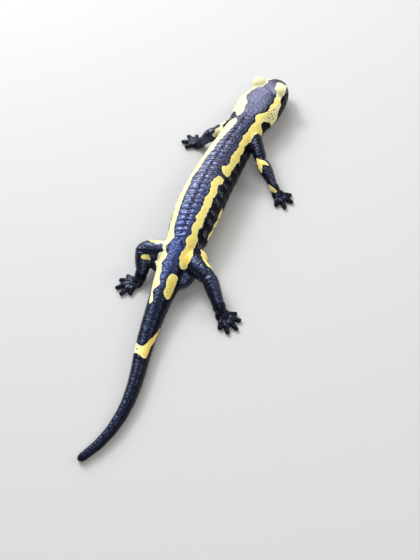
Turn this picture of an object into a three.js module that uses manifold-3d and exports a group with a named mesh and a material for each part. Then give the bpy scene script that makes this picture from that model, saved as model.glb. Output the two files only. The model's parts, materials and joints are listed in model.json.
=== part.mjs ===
// A fire salamander at life size, standing still on level ground: a round-snouted head with raised gland
// pads behind the eyes, a stout trunk whose belly rests on the floor, four sprawling legs with short
// blunt toes, and a tapering tail laid in a long S. Millimetres, +Z up, head towards -Y, and the
// origin on the floor below the middle of the trunk. The animal is modelled whole, then parted by thin cuts.

import * as THREE from 'three';
import { mergeVertices } from 'three/addons/utils/BufferGeometryUtils.js';
import Module from 'manifold-3d';

// Driving dimensions.
const TOTAL_LENGTH = 180.5;
const SNOUT_TO_VENT = 106.5;
const HEAD_LENGTH = 26;
const CUT = 0.3;
const REACH = 400;

// Lengths that a person would name, as distances from the snout along the spine.
const MOUTH_CORNER = 14.5;
const NECK_ENDS = 33;
const TAIL_MIDDLE_STARTS = 132;
const TAIL_TIP_STARTS = 158;

// The spine's route over the floor, from the snout to the tip of the tail.
const SPINE_ROUTE = [
  [-4.2, -65.1], [-3.3, -59.0], [-2.3, -52.5], [-1.3, -45.8], [-0.6, -39.5], [-0.5, -32.0], [0.0, -18.0],
  [0.2, -3.0], [-0.5, 11.0], [-1.6, 22.8], [-1.9, 32.8], [-2.4, 42.8], [-3.4, 52.8], [-4.9, 62.7],
  [-6.6, 71.0], [-9.1, 81.0], [-10.2, 92.0], [-8.7, 102.1], [-5.6, 109.4], [-3.5, 112.6],
];

// The body's sections by distance from the snout: half the width, the heights of its top, widest level
// and underside above the floor, and how square its upper and lower halves are (2 is an ellipse).
const SECTIONS = [
  // at, half, top, level, under, above, below
  [0.0, 6.1, 9.4, 6.4, 3.7, 2.2, 2.2],
  [5.0, 7.0, 10.3, 6.3, 2.9, 2.5, 2.4],
  [10.0, 8.2, 11.3, 6.2, 2.4, 2.6, 2.6],
  [17.0, 9.3, 12.0, 6.3, 2.2, 2.5, 2.6],
  [22.0, 9.3, 12.3, 6.6, 2.3, 2.4, 2.5],
  [HEAD_LENGTH, 8.5, 12.5, 6.9, 2.5, 2.3, 2.3],
  [30.0, 7.5, 13.0, 7.3, 1.8, 2.3, 2.3],
  [38.0, 7.5, 14.3, 7.7, 0.5, 2.3, 2.3],
  [48.0, 7.8, 15.5, 7.9, -0.2, 2.3, 2.4],
  [60.0, 8.2, 16.2, 7.9, -0.3, 2.3, 2.6],
  [74.0, 8.6, 16.1, 7.8, -0.3, 2.3, 2.6],
  [84.0, 8.0, 15.1, 7.5, -0.2, 2.3, 2.6],
  [92.0, 6.9, 13.5, 6.9, 0.1, 2.2, 2.4],
  [99.0, 6.1, 11.9, 6.2, 0.6, 2.1, 2.2],
  [SNOUT_TO_VENT, 5.2, 10.4, 5.3, -0.1, 2.1, 2.2],
  [116.0, 4.1, 8.8, 4.4, -0.1, 2.0, 2.2],
  [128.0, 3.5, 7.3, 3.6, -0.1, 2.0, 2.2],
  [142.0, 2.8, 6.1, 3.0, -0.1, 2.0, 2.2],
  [158.0, 2.15, 4.8, 2.3, -0.1, 2.0, 2.2],
  [170.0, 1.6, 3.7, 1.8, -0.1, 2.0, 2.2],
  [TOTAL_LENGTH, 1.3, 2.8, 1.3, -0.1, 2.0, 2.2],
];
const SNOUT_ROUNDING = { wide: 8.0, high: 3.8 };
const TAIL_ROUNDING = 2.4;
const BODY_SIDES = 24;
const RING_STEP = { head: 1.9, trunk: 4.6, tail: 5.8 };

// The gland pad behind each eye: its middle, half length, height round the section and swelling.
const GLAND = { at: 19.5, halfLength: 6.0, angle: 0.8, spread: 0.38, swelling: 0.95 };

// Eyes: the ball, the flesh over it and the lens-shaped gap between the lids.
const EYE = { at: 8.3, out: 5.45, up: 10.4, ball: 2.25, flesh: 2.95 };
const LID_GAP = { deep: 1.9, long: 2.3, high: 1.5, outTurn: 0.3, upTurn: 0.1, away: 2.65 };

// Each leg: its joints from the root in the trunk to the ankle or wrist, the radii along it, the middle
// of its sole, the way the middle digit points, and its digits as [spread in degrees, length]. A hind
// leg also has muscles, from the thigh to the root of the tail and to the groin.
const HAND_DIGITS = [[-50, 5.0], [-17, 6.6], [16, 6.9], [49, 5.2]];
const FOOT_DIGITS = [[-58, 4.9], [-29, 6.6], [0, 7.7], [28, 7.4], [56, 5.4]];
const ARM_RADII = { upper: [3.4, 2.7, 2.65], lower: [2.65, 2.85, 1.9, 1.5] };
const LEG_RADII = { upper: [4.5, 3.9, 3.15], lower: [3.15, 3.05, 2.5, 2.0] };
const LEGS = [
  { side: 'right', names: ['upper_arm', 'forearm', 'hand'], radii: ARM_RADII, digits: HAND_DIGITS,
    root: [-4.5, -33.5, 8.2], bend: [-14.4, -19.7, 7.6], end: [-21.9, -13.1, 2.9],
    sole: [-24.2, -11.4], pointing: [-0.86, 0.5], palm: 2.5 },
  { side: 'left', names: ['upper_arm', 'forearm', 'hand'], radii: ARM_RADII, digits: HAND_DIGITS,
    root: [2.5, -36.0, 8.2], bend: [10.2, -28.6, 7.6], end: [15.6, -26.4, 3.1],
    sole: [18.3, -26.6], pointing: [0.98, -0.2], palm: 2.5 },
  { side: 'right', names: ['thigh', 'shank', 'foot'], radii: LEG_RADII, digits: FOOT_DIGITS,
    root: [-4.6, 30.2, 6.9], bend: [-17.4, 36.4, 7.2], end: [-23.6, 43.6, 3.3],
    sole: [-26.2, 46.0], pointing: [-0.9, 0.42], palm: 2.8,
    muscles: [
      { middle: [-7.0, 36.8, 4.5], size: [4.4, 5.8, 3.3] },
      { middle: [-9.2, 28.8, 6.1], size: [3.8, 3.2, 3.5] },
    ] },
  { side: 'left', names: ['thigh', 'shank', 'foot'], radii: LEG_RADII, digits: FOOT_DIGITS,
    root: [0.6, 30.6, 6.9], bend: [11.4, 33.0, 7.9], end: [9.0, 41.0, 3.4],
    sole: [10.8, 43.8], pointing: [0.8, 0.6], palm: 2.8,
    muscles: [{ middle: [3.4, 35.0, 5.0], size: [4.4, 4.2, 3.5] }] },
];
const LEG_SIDES = 12;
const RINGS_PER_SPAN = { limb: 2, digit: 1 };
const BEND_OVERLAP = 0.7;
const PALM_HEIGHT = 1.25;
const PALM_SINK = 0.15;
const DIGIT_SIDES = 6;
const DIGIT_RADIUS = { root: 1.0, tip: 0.85 };
const DIGIT_SINK = 0.12;
const BLUNTNESS = { limb: 0.12, digit: 0.42 };

// Skin colours: near-black with a blue cast, and the black of the eyes.
const BLACK_SKIN = new THREE.MeshStandardMaterial({ color: 0x14131a, roughness: 0.35, metalness: 0.0 });
const EYE_BLACK = new THREE.MeshStandardMaterial({ color: 0x050506, roughness: 0.08, metalness: 0.0 });

const wasm = await Module();
wasm.setup();

// A closed three.js geometry as a solid that can be joined and cut.
function solid(geometry) {
  const bare = geometry.clone();
  bare.deleteAttribute('normal');
  bare.deleteAttribute('uv');
  const merged = mergeVertices(bare, 1e-4);
  return new wasm.Manifold(new wasm.Mesh({
    numProp: 3,
    vertProperties: Float32Array.from(merged.attributes.position.array),
    triVerts: Uint32Array.from(merged.index.array),
  }));
}

// A solid as a named mesh.
function node(name, made, material) {
  const { numProp, vertProperties, triVerts } = made.getMesh();
  const position = new Float32Array((vertProperties.length / numProp) * 3);
  for (let i = 0; i * 3 < position.length; i++) {
    position.set(vertProperties.subarray(i * numProp, i * numProp + 3), i * 3);
  }
  const geometry = new THREE.BufferGeometry();
  geometry.setAttribute('position', new THREE.BufferAttribute(position, 3));
  geometry.setIndex(new THREE.BufferAttribute(Uint32Array.from(triVerts), 1));
  geometry.computeVertexNormals();
  const mesh = new THREE.Mesh(geometry, material);
  mesh.name = name;
  return mesh;
}

// A skin of quads over rings of equally many points, closed by one point at each end. Nothing reaches
// below the floor, so whatever lies on it gets a small flat.
function loft(first, rings, last) {
  const sides = rings[0].length;
  const points = [first, ...rings.flat(), last];
  const index = [];
  const at = (ring, side) => 1 + ring * sides + (side % sides);
  const end = points.length - 1;
  for (let side = 0; side < sides; side++) {
    index.push(0, at(0, side + 1), at(0, side));
    index.push(end, at(rings.length - 1, side), at(rings.length - 1, side + 1));
    for (let ring = 0; ring + 1 < rings.length; ring++) {
      const [a, b, c, d] = [at(ring, side), at(ring, side + 1), at(ring + 1, side + 1), at(ring + 1, side)];
      index.push(a, b, c, a, c, d);
    }
  }
  const position = new Float32Array(points.flatMap((p) => [p.x, p.y, Math.max(p.z, 0)]));
  const geometry = new THREE.BufferGeometry();
  geometry.setAttribute('position', new THREE.BufferAttribute(position, 3));
  geometry.setIndex(index);
  return geometry;
}

// Everything on the far side of a plane, as a large box whose face is that plane.
function beyond(point, normal, gap = 0) {
  const box = new THREE.BoxGeometry(REACH, REACH, REACH);
  box.translate(0, 0, REACH / 2 + gap);
  box.applyQuaternion(new THREE.Quaternion().setFromUnitVectors(new THREE.Vector3(0, 0, 1), normal));
  box.translate(point.x, point.y, point.z);
  return solid(box);
}

// The largest of a solid's separate bodies: a cut can leave a sliver where a limb bends sharply.
function largest(made) {
  return made.decompose().reduce((kept, other) => (other.volume() > kept.volume() ? other : kept));
}

// The two parts of a solid on either side of a plane, with the gap of a cut between them.
function parted(whole, point, normal) {
  const near = whole.intersect(beyond(point, normal.clone().negate(), CUT / 2));
  const far = whole.intersect(beyond(point, normal, CUT / 2));
  return [largest(near), largest(far)];
}

// The spine, and the body's sections along it.
const spinePoints = SPINE_ROUTE.map(([x, y]) => new THREE.Vector3(x, y, 0));
const spine = new THREE.CatmullRomCurve3(spinePoints, false, 'centripetal');
const sections = new THREE.CubicInterpolant(
  SECTIONS.map((row) => row[0]),
  SECTIONS.flatMap((row) => row.slice(1)),
  SECTIONS[0].length - 1,
);

function onSpine(at) {
  const share = THREE.MathUtils.clamp(at / TOTAL_LENGTH, 0, 1);
  const along = spine.getTangentAt(share);
  const right = new THREE.Vector3(-along.y, along.x, 0);
  return { middle: spine.getPointAt(share), along, right };
}

function superellipse(value, squareness) {
  return Math.sign(value) * Math.abs(value) ** (2 / squareness);
}

// How far the section has opened out at a distance from one of the round ends.
function rounding(at, snoutRounding) {
  const opening = (share) => Math.sqrt(1 - (1 - Math.min(share, 1)) ** 2);
  return opening(at / snoutRounding) * opening((TOTAL_LENGTH - at) / TAIL_ROUNDING);
}

function glandSwelling(at, angle) {
  const along = (at - GLAND.at) / GLAND.halfLength;
  const round = (Math.PI / 2 - Math.abs(Math.PI / 2 - angle) - GLAND.angle) / GLAND.spread;
  return GLAND.swelling * Math.exp(-(along ** 4) - round ** 2);
}

function bodyPoint(at, angle, grow) {
  const [half, top, level, under, above, below] = sections.evaluate(at);
  const { middle, right } = onSpine(at);
  const [cos, sin] = [Math.cos(angle), Math.sin(angle)];
  const squareness = sin > 0 ? above : below;
  const [wide, high] = [rounding(at, SNOUT_ROUNDING.wide), rounding(at, SNOUT_ROUNDING.high)];
  const swelling = grow + (sin > 0 ? glandSwelling(at, angle) : 0);
  const out = superellipse(cos, squareness) * half * wide + cos * swelling;
  const up = superellipse(sin, squareness) * (sin > 0 ? top - level : level - under) * high + sin * swelling;
  return middle.addScaledVector(right, out).setZ(level + up);
}

// Ring places that crowd together at the two round ends.
function bodyStations() {
  const places = [];
  for (const turn of [0.14, 0.27, 0.4, 0.53, 0.66, 0.8]) {
    places.push(SNOUT_ROUNDING.wide * (1 - Math.cos((turn * Math.PI) / 2)));
  }
  const tailRounds = TOTAL_LENGTH - TAIL_ROUNDING;
  for (let at = 6.8; at < HEAD_LENGTH + 3; at += RING_STEP.head) places.push(at);
  for (let at = HEAD_LENGTH + 5.5; at < SNOUT_TO_VENT; at += RING_STEP.trunk) places.push(at);
  for (let at = SNOUT_TO_VENT + 2; at < tailRounds; at += RING_STEP.tail) places.push(at);
  for (const turn of [0.84, 0.6, 0.3]) {
    places.push(TOTAL_LENGTH - TAIL_ROUNDING * (1 - Math.cos((turn * Math.PI) / 2)));
  }
  return places;
}

function bodySolid(grow = 0) {
  const rings = bodyStations().map((at) => Array.from({ length: BODY_SIDES }, (_, side) =>
    bodyPoint(at, ((side + 0.5) / BODY_SIDES) * 2 * Math.PI, grow)));
  const level = (at) => sections.evaluate(at)[2];
  const first = onSpine(0).middle.setZ(level(0));
  const last = onSpine(TOTAL_LENGTH).middle.setZ(level(TOTAL_LENGTH));
  return solid(loft(first, rings, last));
}

// A round limb through its joints, with a rounded end at the root and at the tip.
function limbSolid(route, radii, sides = LEG_SIDES, kind = 'limb') {
  const curve = new THREE.CatmullRomCurve3(route, false, 'centripetal');
  const count = (route.length - 1) * RINGS_PER_SPAN[kind];
  const frames = curve.computeFrenetFrames(count, false);
  const radiusAt = new THREE.CubicInterpolant(radii.map((_, i) => i / (radii.length - 1)), radii, 1);
  const length = curve.getLength();
  const rings = [];
  for (let i = 0; i <= count; i++) {
    const share = i / count;
    const nearest = Math.min(share, 1 - share) * length;
    const radius = radiusAt.evaluate(share)[0];
    const round = Math.sqrt(1 - (1 - Math.min((nearest + BLUNTNESS[kind] * radius) / radius, 1)) ** 2);
    rings.push(Array.from({ length: sides }, (_, side) => {
      const angle = (side / sides) * 2 * Math.PI;
      return curve.getPointAt(share)
        .addScaledVector(frames.normals[i], Math.cos(angle) * radius * round)
        .addScaledVector(frames.binormals[i], Math.sin(angle) * radius * round);
    }));
  }
  return solid(loft(route[0].clone(), rings, route[route.length - 1].clone()));
}

// A palm or sole with its digits, all flat on the floor.
function soleSolid({ sole, pointing, palm, digits }) {
  const heading = Math.atan2(pointing[1], pointing[0]);
  const mirrored = pointing[0] > 0 ? 1 : -1;
  const pad = new THREE.SphereGeometry(1, 10, 5);
  pad.rotateX(Math.PI / 2);
  pad.scale(palm * 1.12, palm, PALM_HEIGHT);
  pad.rotateZ(heading);
  pad.translate(sole[0], sole[1], PALM_HEIGHT - PALM_SINK);
  const place = pad.attributes.position;
  for (let i = 0; i < place.count; i++) place.setZ(i, Math.max(place.getZ(i), 0));
  let made = solid(pad);
  for (const [spread, length] of digits) {
    const turn = heading + THREE.MathUtils.degToRad(spread) * mirrored;
    const reach = (share, up) => new THREE.Vector3(
      sole[0] + Math.cos(turn) * length * share, sole[1] + Math.sin(turn) * length * share, up);
    const route = [
      reach(0.1, DIGIT_RADIUS.root - DIGIT_SINK),
      reach(0.55, DIGIT_RADIUS.root + 0.2),
      reach(1.0, DIGIT_RADIUS.tip - DIGIT_SINK),
    ];
    const radii = [DIGIT_RADIUS.root, DIGIT_RADIUS.root * 0.9, DIGIT_RADIUS.tip];
    made = made.add(limbSolid(route, radii, DIGIT_SIDES, 'digit'));
  }
  return made;
}

// One leg as three nodes: an upper and a lower length with round ends that overlap at the bend. It is
// trimmed where the trunk begins, and parted at its bend and its end. Muscles belong to the first node.
function legNodes(leg, trunkAndGap) {
  const [root, bend, end] = [leg.root, leg.bend, leg.end].map((place) => new THREE.Vector3(...place));
  const halfway = (a, b, lift) => a.clone().lerp(b, 0.5).add(new THREE.Vector3(0, 0, lift));
  const sole = new THREE.Vector3(leg.sole[0], leg.sole[1], PALM_HEIGHT);
  const upper = bend.clone().sub(root).normalize();
  const lower = end.clone().sub(bend).normalize();
  const last = sole.clone().sub(end).normalize();
  const past = BEND_OVERLAP * leg.radii.lower[0];
  const upperRoute = [root, halfway(root, bend, 0.5), bend.clone().addScaledVector(upper, past)];
  const lowerRoute = [bend.clone().addScaledVector(lower, -past), halfway(bend, end, 0.6), end, sole];
  const lowerLength = (grow) => limbSolid(lowerRoute, leg.radii.lower.map((radius) => radius + grow));
  const whole = limbSolid(upperRoute, leg.radii.upper).add(lowerLength(0)).add(soleSolid(leg));
  const [upperPart, rest] = parted(whole.subtract(trunkAndGap), bend, upper.add(lower).normalize());
  const [middlePart, lastPart] = parted(rest, end, lower.add(last).setZ(-0.35).normalize());
  const firstPart = (leg.muscles ?? []).reduce((made, muscle) =>
    made.add(muscleSolid(muscle).subtract(trunkAndGap).subtract(lowerLength(CUT))), upperPart);
  return [firstPart, middlePart, lastPart].map((made, i) =>
    node(`${leg.side}_${leg.names[i]}`, made, BLACK_SKIN));
}

function muscleSolid({ middle, size }) {
  return solid(new THREE.SphereGeometry(1, 10, 6).scale(...size).translate(...middle));
}

// Where the eye's middle is, and the way it looks, on one side (+1 left, -1 right).
function eyePlace(side) {
  const { middle, along, right } = onSpine(EYE.at);
  const outward = right.clone().multiplyScalar(-side);
  const place = middle.addScaledVector(outward, EYE.out).setZ(EYE.up);
  const looking = outward.clone().addScaledVector(along, -LID_GAP.outTurn).setZ(LID_GAP.upTurn).normalize();
  return { place, looking };
}

function ball(radius, place) {
  return solid(new THREE.SphereGeometry(radius, 12, 8).translate(place.x, place.y, place.z));
}

// The lens-shaped gap between the lids, its long way level.
function lidGap({ place, looking }) {
  const lens = new THREE.SphereGeometry(1, 12, 8).scale(LID_GAP.deep, LID_GAP.long, LID_GAP.high);
  lens.applyMatrix4(new THREE.Matrix4().makeBasis(
    looking,
    new THREE.Vector3(-looking.y, looking.x, 0).normalize(),
    looking.clone().cross(new THREE.Vector3(-looking.y, looking.x, 0).normalize()),
  ));
  const away = place.clone().addScaledVector(looking, LID_GAP.away);
  return solid(lens.translate(away.x, away.y, away.z));
}

const model = new THREE.Group();
let body = bodySolid();
for (const [side, name] of [[1, 'left_eye'], [-1, 'right_eye']]) {
  const eye = eyePlace(side);
  body = body.add(ball(EYE.flesh, eye.place)).subtract(ball(EYE.ball + CUT, eye.place)).subtract(lidGap(eye));
  model.add(node(name, ball(EYE.ball, eye.place), EYE_BLACK));
}

// The body, parted across the spine.
function acrossSpine(at) {
  const { middle, along } = onSpine(at);
  return [middle, along];
}

const [head, behindHead] = parted(body, ...acrossSpine(HEAD_LENGTH));
const [neck, behindNeck] = parted(behindHead, ...acrossSpine(NECK_ENDS));
const [trunk, tail] = parted(behindNeck, ...acrossSpine(SNOUT_TO_VENT));
const [tailRoot, behindRoot] = parted(tail, ...acrossSpine(TAIL_MIDDLE_STARTS));
const [tailMiddle, tailTip] = parted(behindRoot, ...acrossSpine(TAIL_TIP_STARTS));

// The lower jaw is what lies under the mouth line, ahead of the corner of the mouth.
const mouthLevel = onSpine(0).middle.setZ(5.3);
const mouthDown = onSpine(0).along.multiplyScalar(0.03).setZ(-1).normalize();
const jawEnds = onSpine(MOUTH_CORNER);
const jawRegion = (gap) => beyond(mouthLevel, mouthDown, gap).intersect(
  beyond(jawEnds.middle, jawEnds.along.clone().negate(), gap));
model.add(node('head', head.subtract(jawRegion(0)), BLACK_SKIN));
model.add(node('lower_jaw', head.intersect(jawRegion(CUT)), BLACK_SKIN));
model.add(node('neck', neck, BLACK_SKIN));
model.add(node('trunk', trunk, BLACK_SKIN));
model.add(node('tail_root', tailRoot, BLACK_SKIN));
model.add(node('tail_middle', tailMiddle, BLACK_SKIN));
model.add(node('tail_tip', tailTip, BLACK_SKIN));

const trunkAndGap = bodySolid(CUT);
for (const leg of LEGS) model.add(...legNodes(leg, trunkAndGap));

export default model;
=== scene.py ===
import json
import math

import bpy
import numpy as np
from mathutils import Matrix, Vector
from mathutils.bvhtree import BVHTree

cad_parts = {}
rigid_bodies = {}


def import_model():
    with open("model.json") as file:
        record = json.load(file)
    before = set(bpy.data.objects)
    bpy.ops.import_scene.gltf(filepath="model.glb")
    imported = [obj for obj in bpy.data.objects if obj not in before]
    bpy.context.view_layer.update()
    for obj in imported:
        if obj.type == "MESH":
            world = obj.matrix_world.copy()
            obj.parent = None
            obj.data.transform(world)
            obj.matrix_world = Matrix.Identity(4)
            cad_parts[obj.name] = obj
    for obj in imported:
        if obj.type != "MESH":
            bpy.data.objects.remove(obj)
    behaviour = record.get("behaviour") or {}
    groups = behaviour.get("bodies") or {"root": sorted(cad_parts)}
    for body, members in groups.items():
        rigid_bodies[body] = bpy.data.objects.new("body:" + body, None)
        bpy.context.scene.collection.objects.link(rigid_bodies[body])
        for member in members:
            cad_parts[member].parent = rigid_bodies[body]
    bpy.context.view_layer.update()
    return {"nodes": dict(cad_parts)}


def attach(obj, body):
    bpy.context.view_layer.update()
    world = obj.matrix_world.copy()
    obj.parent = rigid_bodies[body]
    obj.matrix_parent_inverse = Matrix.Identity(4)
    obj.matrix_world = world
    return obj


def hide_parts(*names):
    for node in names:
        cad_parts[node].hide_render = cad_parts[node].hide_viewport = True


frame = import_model()

# Lengths are in millimetres until a mesh is written, and the frame is in metres.
MM = 0.001

FLESH = [
    "head", "lower_jaw", "neck", "trunk", "tail_root", "tail_middle", "tail_tip",
    "right_upper_arm", "right_forearm", "right_hand", "right_thigh", "right_shank", "right_foot",
    "left_upper_arm", "left_forearm", "left_hand", "left_thigh", "left_shank", "left_foot",
]
EYES = ["left_eye", "right_eye"]
BODY_NODES = ["head", "lower_jaw", "neck", "trunk", "tail_root", "tail_middle", "tail_tip"]
UPPER_ARMS = ["right_upper_arm", "left_upper_arm"]
PAWS = ["right_hand", "left_hand", "right_foot", "left_foot"]

# The width of a voxel of the skin, the width that the rounds of smoothing are given for, and how far
# each solid grows so that the cuts close.
VOXEL = 0.4
TUNED_VOXEL = 0.33
GROW = 0.17

# The spine's route over the floor, snout to tail tip, as the solids have it.
SPINE_ROUTE = [
    (-4.2, -65.1), (-3.3, -59.0), (-2.3, -52.5), (-1.3, -45.8), (-0.6, -39.5), (-0.5, -32.0),
    (0.0, -18.0), (0.2, -3.0), (-0.5, 11.0), (-1.6, 22.8), (-1.9, 32.8), (-2.4, 42.8), (-3.4, 52.8),
    (-4.9, 62.7), (-6.6, 71.0), (-9.1, 81.0), (-10.2, 92.0), (-8.7, 102.1), (-5.6, 109.4), (-3.5, 112.6),
]
TOTAL_LENGTH = 180.5
# Height of the body's widest level and half its width, by distance from the snout.
LEVEL = [(0, 6.4), (10, 6.2), (26, 6.9), (38, 7.7), (60, 7.9), (84, 7.5), (106.5, 5.3), (128, 3.6),
         (158, 2.3), (180.5, 1.3)]
HALF_WIDTH = [(0, 6.1), (10, 8.2), (17, 9.3), (22, 9.3), (30, 7.5), (48, 7.8), (74, 8.6), (92, 6.9),
              (106.5, 5.2), (128, 3.5), (158, 2.15), (180.5, 1.3)]

# Each limb's root, bend and end.
LIMBS = {
    "right_arm": [(-4.5, -33.5, 8.2), (-14.4, -19.7, 7.6), (-21.9, -13.1, 2.9)],
    "left_arm": [(2.5, -36.0, 8.2), (10.2, -28.6, 7.6), (15.6, -26.4, 3.1)],
    "right_leg": [(-4.6, 30.2, 6.9), (-17.4, 36.4, 7.2), (-23.6, 43.6, 3.3)],
    "left_leg": [(0.6, 30.6, 6.9), (11.4, 33.0, 7.9), (9.0, 41.0, 3.4)],
}

# Where the right thigh and its muscles run into the trunk.
THIGH_ROOT = [(-11.5, 28.3, 7.0), (-9.0, 32.0, 9.5), (-10.0, 38.6, 6.0)]

# Each eyeball's middle, from the snout, from the spine and from the floor, and its radius.
EYE_AT, EYE_OUT, EYE_UP, EYE_RADIUS = 8.3, 5.45, 10.4, 2.25


# ---------------- small tools

def only(obj):
    """Selects one object and makes it active."""
    if bpy.context.object and bpy.context.object.mode != "OBJECT":
        bpy.ops.object.mode_set(mode="OBJECT")
    bpy.ops.object.select_all(action="DESELECT")
    obj.select_set(True)
    bpy.context.view_layer.objects.active = obj


def apply_modifier(obj, kind, **settings):
    """Adds a modifier, sets it and applies it."""
    only(obj)
    modifier = obj.modifiers.new(kind.title(), kind)
    for name, value in settings.items():
        setattr(modifier, name, value)
    bpy.ops.object.modifier_apply(modifier=modifier.name)


def read_points(obj):
    """The mesh's points in millimetres."""
    flat = np.empty(len(obj.data.vertices) * 3)
    obj.data.vertices.foreach_get("co", flat)
    return flat.reshape(-1, 3) / MM


def write_points(obj, points):
    obj.data.vertices.foreach_set("co", (points * MM).ravel())
    obj.data.update()


def read_normals(obj):
    flat = np.empty(len(obj.data.vertices) * 3)
    obj.data.vertex_normals.foreach_get("vector", flat)
    return flat.reshape(-1, 3)


def rise(value, start, end):
    """0 before start, 1 after end, and a smooth step between them."""
    share = np.clip((value - start) / (end - start), 0, 1)
    return share * share * (3 - 2 * share)


def between(value, start, end, soft):
    """1 between start and end, fading over soft on either side."""
    return rise(value, start - soft, start) * (1 - rise(value, end, end + soft))


def hill(value, width):
    return np.exp(-(value / width) ** 2)


def from_nearest(value, spacing):
    """Signed distance to the nearest of many equally spaced places."""
    return (value / spacing - np.round(value / spacing)) * spacing


def table(value, rows):
    rows = np.array(rows)
    return np.interp(value, rows[:, 0], rows[:, 1])


def scramble(cells, seed):
    """A fixed number from 0 to 1 for each whole-numbered cell."""
    mixed = (cells[..., 0] * 73856093) ^ (cells[..., 1] * 19349663) ^ (cells[..., 2] * 83492791)
    mixed = (mixed ^ (seed * 2654435761)) & 0xFFFFFFFF
    mixed = ((mixed ^ (mixed >> 15)) * 2246822519) & 0xFFFFFFFF
    mixed = ((mixed ^ (mixed >> 13)) * 3266489917) & 0xFFFFFFFF
    return (mixed ^ (mixed >> 16)) / 0xFFFFFFFF


def lumps(points, size, seed):
    """Smooth unevenness from -1 to 1 with lumps of one size."""
    scaled = points / size
    cell = np.floor(scaled).astype(np.int64)
    share = scaled - cell
    share = share * share * (3 - 2 * share)
    total = np.zeros(len(points))
    for corner in range(8):
        step = np.array([corner & 1, (corner >> 1) & 1, corner >> 2])
        weight = np.prod(np.where(step == 1, share, 1 - share), axis=1)
        total += weight * scramble(cell + step, seed)
    return total * 2 - 1


# ---------------- where a point is on the body

def spine_line(steps=24):
    """Points along the spine, the way the spine runs there, and the distance from the snout."""
    route = np.array(SPINE_ROUTE)
    ends = np.vstack([2 * route[0] - route[1], route, 2 * route[-1] - route[-2]])
    line = []
    for p0, p1, p2, p3 in zip(ends, ends[1:], ends[2:], ends[3:]):
        steps_between = [np.linalg.norm(b - a) ** 0.5 for a, b in ((p0, p1), (p1, p2), (p2, p3))]
        knots = np.cumsum([0] + steps_between)
        at = np.linspace(knots[1], knots[2], steps, endpoint=False)[:, None]

        def mix(a, b, start, end):
            return (end - at) / (end - start) * a + (at - start) / (end - start) * b

        a1, a2, a3 = mix(p0, p1, *knots[:2]), mix(p1, p2, *knots[1:3]), mix(p2, p3, *knots[2:])
        b1, b2 = mix(a1, a2, knots[0], knots[2]), mix(a2, a3, knots[1], knots[3])
        line.append(mix(b1, b2, knots[1], knots[2]))
    line = np.vstack(line + [route[-1:]])
    along = np.gradient(line, axis=0)
    along /= np.linalg.norm(along, axis=1)[:, None]
    distance = np.concatenate([[0], np.cumsum(np.linalg.norm(np.diff(line, axis=0), axis=1))])
    return line, along, distance * TOTAL_LENGTH / distance[-1]


SPINE = spine_line()


class Place:
    """Where points are on the body: how far from the snout, to the left of the spine and above the widest
    level, and how far round the body from the middle of the back, in degrees and over the skin. Left is
    positive."""

    def __init__(self, points):
        line, along, distance = SPINE
        nearest = np.concatenate([
            ((chunk[:, None, :2] - line) ** 2).sum(2).argmin(1)
            for chunk in np.array_split(points, max(1, len(points) // 8000))
        ])
        away = points[:, :2] - line[nearest]
        way = along[nearest]
        self.at = distance[nearest] + (away * way).sum(1)
        self.left = away[:, 0] * way[:, 1] - away[:, 1] * way[:, 0]
        self.up = points[:, 2] - table(self.at, LEVEL)
        self.turn = np.degrees(np.arctan2(self.left, self.up))
        self.half = table(self.at, HALF_WIDTH)
        self.over = np.radians(self.turn) * self.half
        self.flank = np.abs(self.turn)


def nearest_nodes(points):
    """The index in FLESH of the solid that each point lies on."""
    corners, faces, owner = [], [], []
    for index, name in enumerate(FLESH):
        mesh = frame["nodes"][name].data
        first = len(corners)
        corners += [vertex.co.copy() for vertex in mesh.vertices]
        faces += [[first + i for i in face.vertices] for face in mesh.polygons]
        owner += [index] * len(mesh.polygons)
    tree = BVHTree.FromPolygons(corners, faces)
    return np.array([owner[tree.find_nearest(Vector(point))[2]] for point in points * MM])


def on_nodes(owner, names):
    return np.isin(owner, [FLESH.index(name) for name in names])


def along_limb(points, limb):
    """How far along a limb each point is, from its root, and the distance of its bend."""
    root, bend, end = (np.array(place) for place in LIMBS[limb])
    upper, lower = bend - root, end - bend
    upper_length, lower_length = np.linalg.norm(upper), np.linalg.norm(lower)
    first = (points - root) @ upper / upper_length
    second = (points - bend) @ lower / lower_length
    return np.where(second > 0, upper_length + second, np.minimum(first, upper_length)), upper_length


# ---------------- the skin's form

def join_flesh():
    """Copies of all solids as one mesh, grown until the cuts between them close."""
    bpy.ops.object.select_all(action="DESELECT")
    copies = []
    for name in FLESH + EYES:
        copy = bpy.data.objects.new("skin_part", frame["nodes"][name].data.copy())
        bpy.context.scene.collection.objects.link(copy)
        copies.append(copy)
    for copy in copies:
        copy.select_set(True)
    bpy.context.view_layer.objects.active = copies[0]
    bpy.ops.object.join()
    skin = bpy.context.object
    skin.name = "skin"
    skin.data.materials.clear()
    bpy.ops.object.mode_set(mode="EDIT")
    bpy.ops.mesh.select_all(action="SELECT")
    bpy.ops.mesh.remove_doubles(threshold=2e-6)
    bpy.ops.transform.shrink_fatten(value=GROW * MM)
    bpy.ops.object.mode_set(mode="OBJECT")
    return skin


def keep_outside(skin):
    """Removes any closed bubble left inside the skin."""
    only(skin)
    points = read_points(skin)
    bpy.ops.object.mode_set(mode="EDIT")
    bpy.ops.mesh.select_all(action="DESELECT")
    bpy.ops.object.mode_set(mode="OBJECT")
    skin.data.vertices[int(points[:, 1].argmin())].select = True
    bpy.ops.object.mode_set(mode="EDIT")
    bpy.ops.mesh.select_linked()
    bpy.ops.mesh.select_all(action="INVERT")
    bpy.ops.mesh.delete(type="VERT")
    bpy.ops.object.mode_set(mode="OBJECT")


# A weight is stored in this many steps.
WEIGHT_STEPS = 20


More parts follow.
